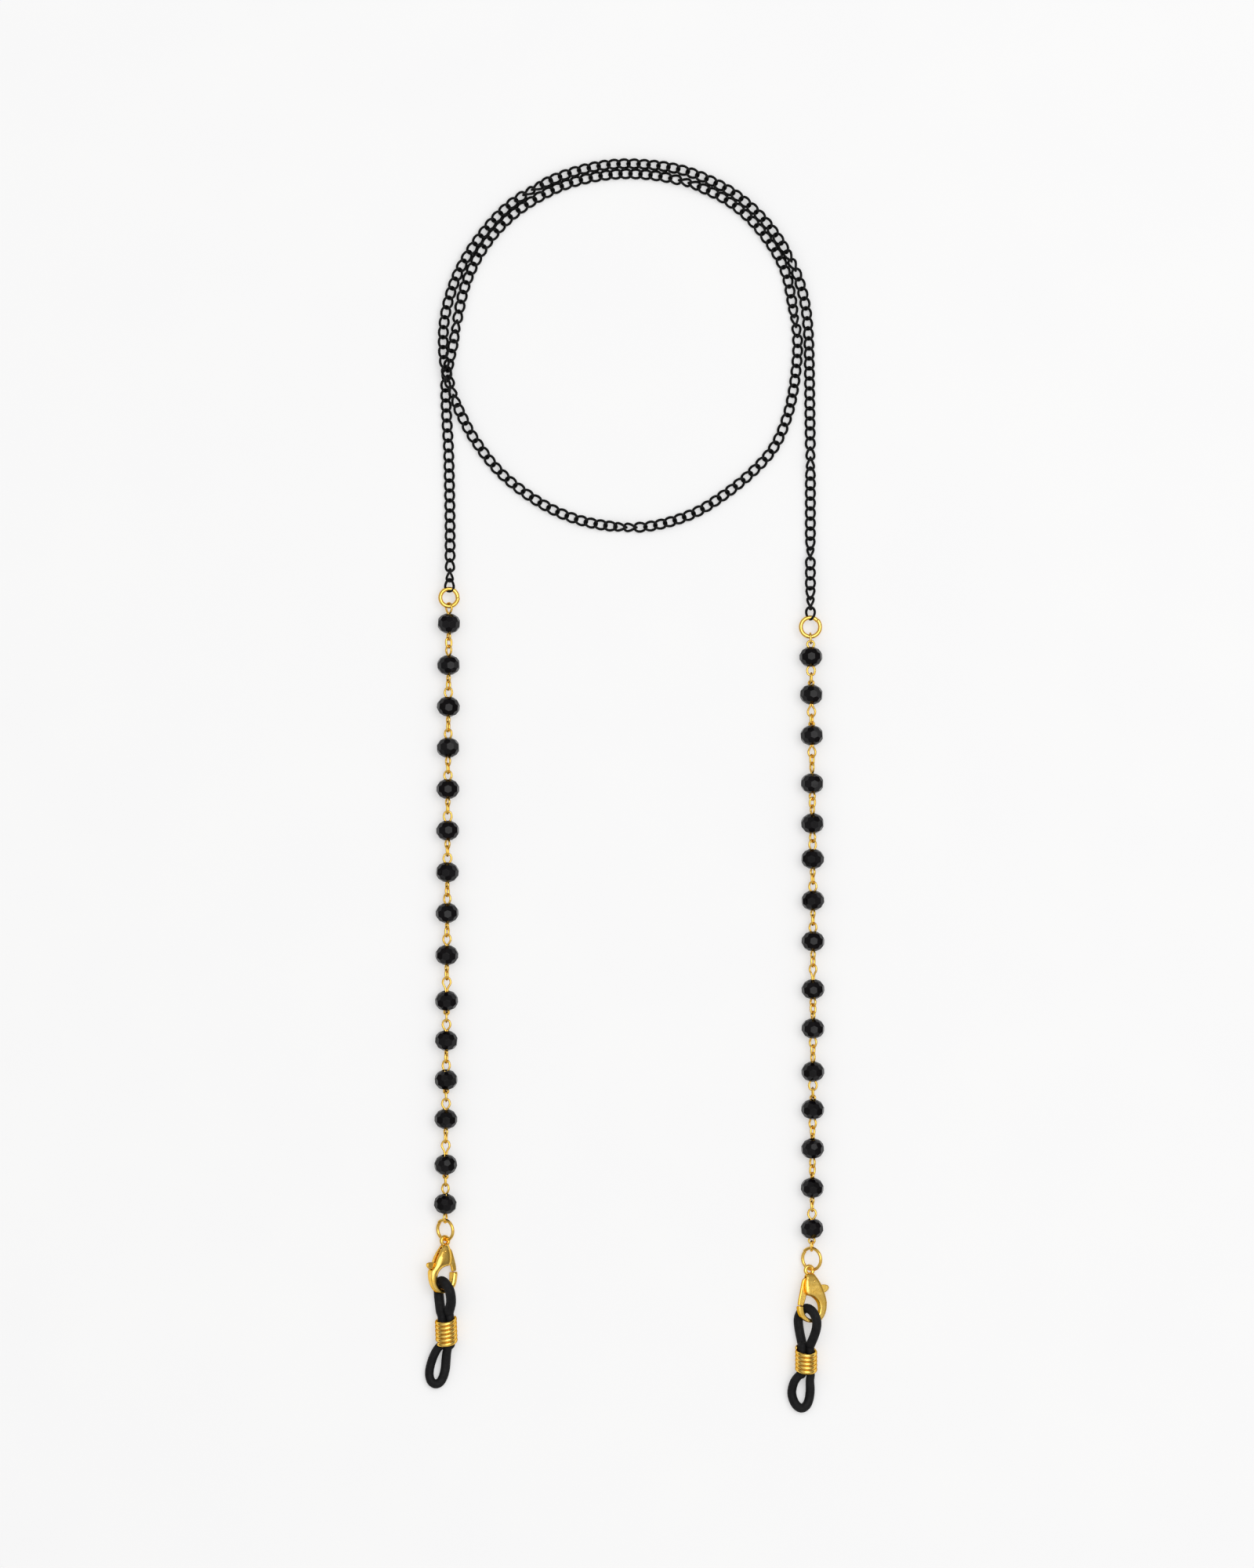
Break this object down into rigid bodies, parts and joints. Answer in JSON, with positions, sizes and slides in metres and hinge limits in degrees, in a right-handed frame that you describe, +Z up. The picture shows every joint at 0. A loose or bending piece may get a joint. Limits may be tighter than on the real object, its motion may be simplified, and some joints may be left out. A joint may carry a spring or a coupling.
{
  "type": "eyeglass retainer chain",
  "caption": "Eyeglass neck chain: fine black curb chain, faceted black bead strands on wire links, gold lobster clasps, black rubber temple loops with gold coil sliders.",
  "frame": {"origin": "on the surface the piece lies on, under the centre of the box around the two strands", "axes": "+Y along the strands toward the neck chain, +Z up from the surface, +X across the strands toward the right one"},
  "size_m": [0.0796, 0.2457, 0.0047],
  "materials": {
    "chain": "satin black coated curb chain",
    "bead": "polished faceted black glass",
    "gold": "polished gold plated brass",
    "rubber": "matte black rubber"
  },
  "bodies": {
    "chain": {"neck_chain": "chain"},
    "left_upper_ring": {"left_upper_ring": "gold"},
    "left_run_1": {"left_wire_1": "gold"},
    "left_run_2": {"left_wire_2": "gold"},
    "left_run_3": {"left_wire_3": "gold"},
    "left_run_4": {"left_wire_4": "gold"},
    "left_run_5": {"left_wire_5": "gold"},
    "left_run_6": {"left_wire_6": "gold"},
    "left_bead_01": {"left_bead_01": "bead"},
    "left_bead_02": {"left_bead_02": "bead"},
    "left_bead_03": {"left_bead_03": "bead"},
    "left_bead_04": {"left_bead_04": "bead"},
    "left_bead_05": {"left_bead_05": "bead"},
    "left_bead_06": {"left_bead_06": "bead"},
    "left_bead_07": {"left_bead_07": "bead"},
    "left_bead_08": {"left_bead_08": "bead"},
    "left_bead_09": {"left_bead_09": "bead"},
    "left_bead_10": {"left_bead_10": "bead"},
    "left_bead_11": {"left_bead_11": "bead"},
    "left_bead_12": {"left_bead_12": "bead"},
    "left_bead_13": {"left_bead_13": "bead"},
    "left_bead_14": {"left_bead_14": "bead"},
    "left_bead_15": {"left_bead_15": "bead"},
    "left_lower_ring": {"left_lower_ring": "gold"},
    "left_clasp": {"left_clasp_body": "gold", "left_lever_pin": "gold", "left_lever_spring": "gold"},
    "left_lever": {"left_clasp_lever": "gold"},
    "left_loop": {"left_rubber_loop": "rubber"},
    "left_slider": {"left_coil_slider": "gold"},
    "right_upper_ring": {"right_upper_ring": "gold"},
    "right_run_1": {"right_wire_1": "gold"},
    "right_run_2": {"right_wire_2": "gold"},
    "right_run_3": {"right_wire_3": "gold"},
    "right_run_4": {"right_wire_4": "gold"},
    "right_run_5": {"right_wire_5": "gold"},
    "right_run_6": {"right_wire_6": "gold"},
    "right_bead_01": {"right_bead_01": "bead"},
    "right_bead_02": {"right_bead_02": "bead"},
    "right_bead_03": {"right_bead_03": "bead"},
    "right_bead_04": {"right_bead_04": "bead"},
    "right_bead_05": {"right_bead_05": "bead"},
    "right_bead_06": {"right_bead_06": "bead"},
    "right_bead_07": {"right_bead_07": "bead"},
    "right_bead_08": {"right_bead_08": "bead"},
    "right_bead_09": {"right_bead_09": "bead"},
    "right_bead_10": {"right_bead_10": "bead"},
    "right_bead_11": {"right_bead_11": "bead"},
    "right_bead_12": {"right_bead_12": "bead"},
    "right_bead_13": {"right_bead_13": "bead"},
    "right_bead_14": {"right_bead_14": "bead"},
    "right_bead_15": {"right_bead_15": "bead"},
    "right_lower_ring": {"right_lower_ring": "gold"},
    "right_clasp": {"right_clasp_body": "gold", "right_lever_pin": "gold", "right_lever_spring": "gold"},
    "right_lever": {"right_clasp_lever": "gold"},
    "right_loop": {"right_rubber_loop": "rubber"},
    "right_slider": {"right_coil_slider": "gold"}
  },
  "joints": [
    {"name": "left_upper_ring_swing", "type": "hinge", "parent": "chain", "child": "left_upper_ring", "pos_m": [-0.03496, 0.08072, 0.00215], "axis": [0, 0, 1], "range_deg": [-24, 24]},
    {"name": "left_run_1_swing", "type": "hinge", "parent": "left_upper_ring", "child": "left_run_1", "pos_m": [-0.03496, 0.07895, 0.00215], "axis": [0, 0, 1], "range_deg": [-24, 24]},
    {"name": "left_run_2_swing", "type": "hinge", "parent": "left_run_1", "child": "left_run_2", "pos_m": [-0.03512, 0.05257, 0.00215], "axis": [0, 0, -1], "range_deg": [-29, 29]},
    {"name": "left_run_3_swing", "type": "hinge", "parent": "left_run_2", "child": "left_run_3", "pos_m": [-0.03526, 0.02868, 0.00215], "axis": [0, 0, -1], "range_deg": [-34, 34]},
    {"name": "left_run_4_swing", "type": "hinge", "parent": "left_run_3", "child": "left_run_4", "pos_m": [-0.03542, 0.00342, 0.00215], "axis": [0, 0, -1], "range_deg": [-46, 46]},
    {"name": "left_run_5_swing", "type": "hinge", "parent": "left_run_4", "child": "left_run_5", "pos_m": [-0.03551, -0.01271, 0.00215], "axis": [0, 0, 1], "range_deg": [-60, 60]},
    {"name": "left_run_6_swing", "type": "hinge", "parent": "left_run_5", "child": "left_run_6", "pos_m": [-0.03561, -0.02873, 0.00215], "axis": [0, 0, -1], "range_deg": [-75, 75]},
    {"name": "left_lower_ring_swing", "type": "hinge", "parent": "left_run_6", "child": "left_lower_ring", "pos_m": [-0.03569, -0.04325, 0.00215], "axis": [0, 0, 1], "range_deg": [-12, 12]},
    {"name": "left_clasp_lift", "type": "hinge", "parent": "left_lower_ring", "child": "left_clasp", "pos_m": [-0.03571, -0.04667, 0.00215], "axis": [-0.809, 0, -0.5878], "range_deg": [0, 60]},
    {"name": "left_lever_press", "type": "hinge", "parent": "left_clasp", "child": "left_lever", "pos_m": [-0.03619, -0.04926, 0.00233], "axis": [-0.3451, -0.0039, -0.9386], "range_deg": [0, 20], "stiffness_Nm_per_rad": 0.002, "deforming": ["left_lever_spring"]},
    {"name": "left_loop_swing", "type": "hinge", "parent": "left_clasp", "child": "left_loop", "pos_m": [-0.03693, -0.05495, 0.00263], "axis": [0, 0, 1], "range_deg": [-12, 12]},
    {"name": "left_slider_slide", "type": "slide", "parent": "left_loop", "child": "left_slider", "axis": [0, 1, 0], "range_m": [-0.003, 0.001], "deforming": ["left_rubber_loop"]},
    {"name": "right_upper_ring_swing", "type": "hinge", "parent": "chain", "child": "right_upper_ring", "pos_m": [0.03593, 0.07513, 0.00215], "axis": [0, 0, 1], "range_deg": [-24, 24]},
    {"name": "right_run_1_swing", "type": "hinge", "parent": "right_upper_ring", "child": "right_run_1", "pos_m": [0.03593, 0.07317, 0.00215], "axis": [0, 0, 1], "range_deg": [-24, 24]},
    {"name": "right_run_2_swing", "type": "hinge", "parent": "right_run_1", "child": "right_run_2", "pos_m": [0.03624, 0.04624, 0.00215], "axis": [0, 0, -1], "range_deg": [-29, 29]},
    {"name": "right_run_3_swing", "type": "hinge", "parent": "right_run_2", "child": "right_run_3", "pos_m": [0.03635, 0.03022, 0.00215], "axis": [0, 0, -1], "range_deg": [-34, 34]},
    {"name": "right_run_4_swing", "type": "hinge", "parent": "right_run_3", "child": "right_run_4", "pos_m": [0.03643, 0.00635, 0.00215], "axis": [0, 0, -1], "range_deg": [-46, 46]},
    {"name": "right_run_5_swing", "type": "hinge", "parent": "right_run_4", "child": "right_run_5", "pos_m": [0.03642, -0.01027, 0.00215], "axis": [0, 0, 1], "range_deg": [-60, 60]},
    {"name": "right_run_6_swing", "type": "hinge", "parent": "right_run_5", "child": "right_run_6", "pos_m": [0.03631, -0.03391, 0.00215], "axis": [0, 0, -1], "range_deg": [-75, 75]},
    {"name": "right_lower_ring_swing", "type": "hinge", "parent": "right_run_6", "child": "right_lower_ring", "pos_m": [0.03617, -0.04911, 0.00215], "axis": [0, 0, 1], "range_deg": [-12, 12]},
    {"name": "right_clasp_lift", "type": "hinge", "parent": "right_lower_ring", "child": "right_clasp", "pos_m": [0.03614, -0.05253, 0.00215], "axis": [-0.8387, 0, -0.5446], "range_deg": [0, 60]},
    {"name": "right_lever_press", "type": "hinge", "parent": "right_clasp", "child": "right_lever", "pos_m": [0.03633, -0.05509, 0.0022], "axis": [0.342, 0.0459, 0.9386], "range_deg": [0, 20], "stiffness_Nm_per_rad": 0.002, "deforming": ["right_lever_spring"]},
    {"name": "right_loop_swing", "type": "hinge", "parent": "right_clasp", "child": "right_loop", "pos_m": [0.03637, -0.06083, 0.00246], "axis": [0, 0, 1], "range_deg": [-12, 12]},
    {"name": "right_slider_slide", "type": "slide", "parent": "right_loop", "child": "right_slider", "axis": [0, 1, 0], "range_m": [-0.003, 0.001], "deforming": ["right_rubber_loop"]},
    {"name": "spin_left_bead_01", "type": "hinge", "parent": "left_run_1", "child": "left_bead_01", "pos_m": [-0.03499, 0.07387, 0.00215], "axis": [0, 1, 0], "continuous": true},
    {"name": "spin_left_bead_02", "type": "hinge", "parent": "left_run_1", "child": "left_bead_02", "pos_m": [-0.03504, 0.06572, 0.00215], "axis": [0, 1, 0], "continuous": true},
    {"name": "spin_left_bead_03", "type": "hinge", "parent": "left_run_1", "child": "left_bead_03", "pos_m": [-0.03509, 0.05757, 0.00215], "axis": [0, 1, 0], "continuous": true},
    {"name": "spin_left_bead_04", "type": "hinge", "parent": "left_run_2", "child": "left_bead_04", "pos_m": [-0.03514, 0.04952, 0.00215], "axis": [0, 1, 0], "continuous": true},
    {"name": "spin_left_bead_05", "type": "hinge", "parent": "left_run_2", "child": "left_bead_05", "pos_m": [-0.03519, 0.04142, 0.00215], "axis": [0, 1, 0], "continuous": true},
    {"name": "spin_left_bead_06", "type": "hinge", "parent": "left_run_2", "child": "left_bead_06", "pos_m": [-0.03524, 0.03327, 0.00215], "axis": [0, 1, 0], "continuous": true},
    {"name": "spin_left_bead_07", "type": "hinge", "parent": "left_run_3", "child": "left_bead_07", "pos_m": [-0.03528, 0.02512, 0.00215], "axis": [0, 1, 0], "continuous": true},
    {"name": "spin_left_bead_08", "type": "hinge", "parent": "left_run_3", "child": "left_bead_08", "pos_m": [-0.03533, 0.01712, 0.00215], "axis": [0, 1, 0], "continuous": true},
    {"name": "spin_left_bead_09", "type": "hinge", "parent": "left_run_3", "child": "left_bead_09", "pos_m": [-0.03538, 0.00887, 0.00215], "axis": [0, 1, 0], "continuous": true},
    {"name": "spin_left_bead_10", "type": "hinge", "parent": "left_run_4", "child": "left_bead_10", "pos_m": [-0.03544, -0.00008, 0.00215], "axis": [0, 1, 0], "continuous": true},
    {"name": "spin_left_bead_11", "type": "hinge", "parent": "left_run_4", "child": "left_bead_11", "pos_m": [-0.03548, -0.00788, 0.00215], "axis": [0, 1, 0], "continuous": true},
    {"name": "spin_left_bead_12", "type": "hinge", "parent": "left_run_5", "child": "left_bead_12", "pos_m": [-0.03553, -0.01558, 0.00215], "axis": [0, 1, 0], "continuous": true},
    {"name": "spin_left_bead_13", "type": "hinge", "parent": "left_run_5", "child": "left_bead_13", "pos_m": [-0.03558, -0.02328, 0.00215], "axis": [0, 1, 0], "continuous": true},
    {"name": "spin_left_bead_14", "type": "hinge", "parent": "left_run_6", "child": "left_bead_14", "pos_m": [-0.03563, -0.03223, 0.00215], "axis": [0, 1, 0], "continuous": true},
    {"name": "spin_left_bead_15", "type": "hinge", "parent": "left_run_6", "child": "left_bead_15", "pos_m": [-0.03567, -0.03993, 0.00215], "axis": [0, 1, 0], "continuous": true},
    {"name": "spin_right_bead_01", "type": "hinge", "parent": "right_run_1", "child": "right_bead_01", "pos_m": [0.03601, 0.06732, 0.00215], "axis": [0, 1, 0], "continuous": true},
    {"name": "spin_right_bead_02", "type": "hinge", "parent": "right_run_1", "child": "right_bead_02", "pos_m": [0.0361, 0.05992, 0.00215], "axis": [0, 1, 0], "continuous": true},
    {"name": "spin_right_bead_03", "type": "hinge", "parent": "right_run_1", "child": "right_bead_03", "pos_m": [0.03618, 0.05192, 0.00215], "axis": [0, 1, 0], "continuous": true},
    {"name": "spin_right_bead_04", "type": "hinge", "parent": "right_run_2", "child": "right_bead_04", "pos_m": [0.03627, 0.04252, 0.00215], "axis": [0, 1, 0], "continuous": true},
    {"name": "spin_right_bead_05", "type": "hinge", "parent": "right_run_2", "child": "right_bead_05", "pos_m": [0.03633, 0.03467, 0.00215], "axis": [0, 1, 0], "continuous": true},
    {"name": "spin_right_bead_06", "type": "hinge", "parent": "right_run_3", "child": "right_bead_06", "pos_m": [0.03637, 0.02772, 0.00215], "axis": [0, 1, 0], "continuous": true},
    {"name": "spin_right_bead_07", "type": "hinge", "parent": "right_run_3", "child": "right_bead_07", "pos_m": [0.0364, 0.01957, 0.00215], "axis": [0, 1, 0], "continuous": true},
    {"name": "spin_right_bead_08", "type": "hinge", "parent": "right_run_3", "child": "right_bead_08", "pos_m": [0.03642, 0.01157, 0.00215], "axis": [0, 1, 0], "continuous": true},
    {"name": "spin_right_bead_09", "type": "hinge", "parent": "right_run_4", "child": "right_bead_09", "pos_m": [0.03643, 0.00217, 0.00215], "axis": [0, 1, 0], "continuous": true},
    {"name": "spin_right_bead_10", "type": "hinge", "parent": "right_run_4", "child": "right_bead_10", "pos_m": [0.03643, -0.00553, 0.00215], "axis": [0, 1, 0], "continuous": true},
    {"name": "spin_right_bead_11", "type": "hinge", "parent": "right_run_5", "child": "right_bead_11", "pos_m": [0.03641, -0.01398, 0.00215], "axis": [0, 1, 0], "continuous": true},
    {"name": "spin_right_bead_12", "type": "hinge", "parent": "right_run_5", "child": "right_bead_12", "pos_m": [0.03638, -0.02138, 0.00215], "axis": [0, 1, 0], "continuous": true},
    {"name": "spin_right_bead_13", "type": "hinge", "parent": "right_run_5", "child": "right_bead_13", "pos_m": [0.03634, -0.02908, 0.00215], "axis": [0, 1, 0], "continuous": true},
    {"name": "spin_right_bead_14", "type": "hinge", "parent": "right_run_6", "child": "right_bead_14", "pos_m": [0.03628, -0.03678, 0.00215], "axis": [0, 1, 0], "continuous": true},
    {"name": "spin_right_bead_15", "type": "hinge", "parent": "right_run_6", "child": "right_bead_15", "pos_m": [0.03622, -0.04478, 0.00215], "axis": [0, 1, 0], "continuous": true}
  ]
}
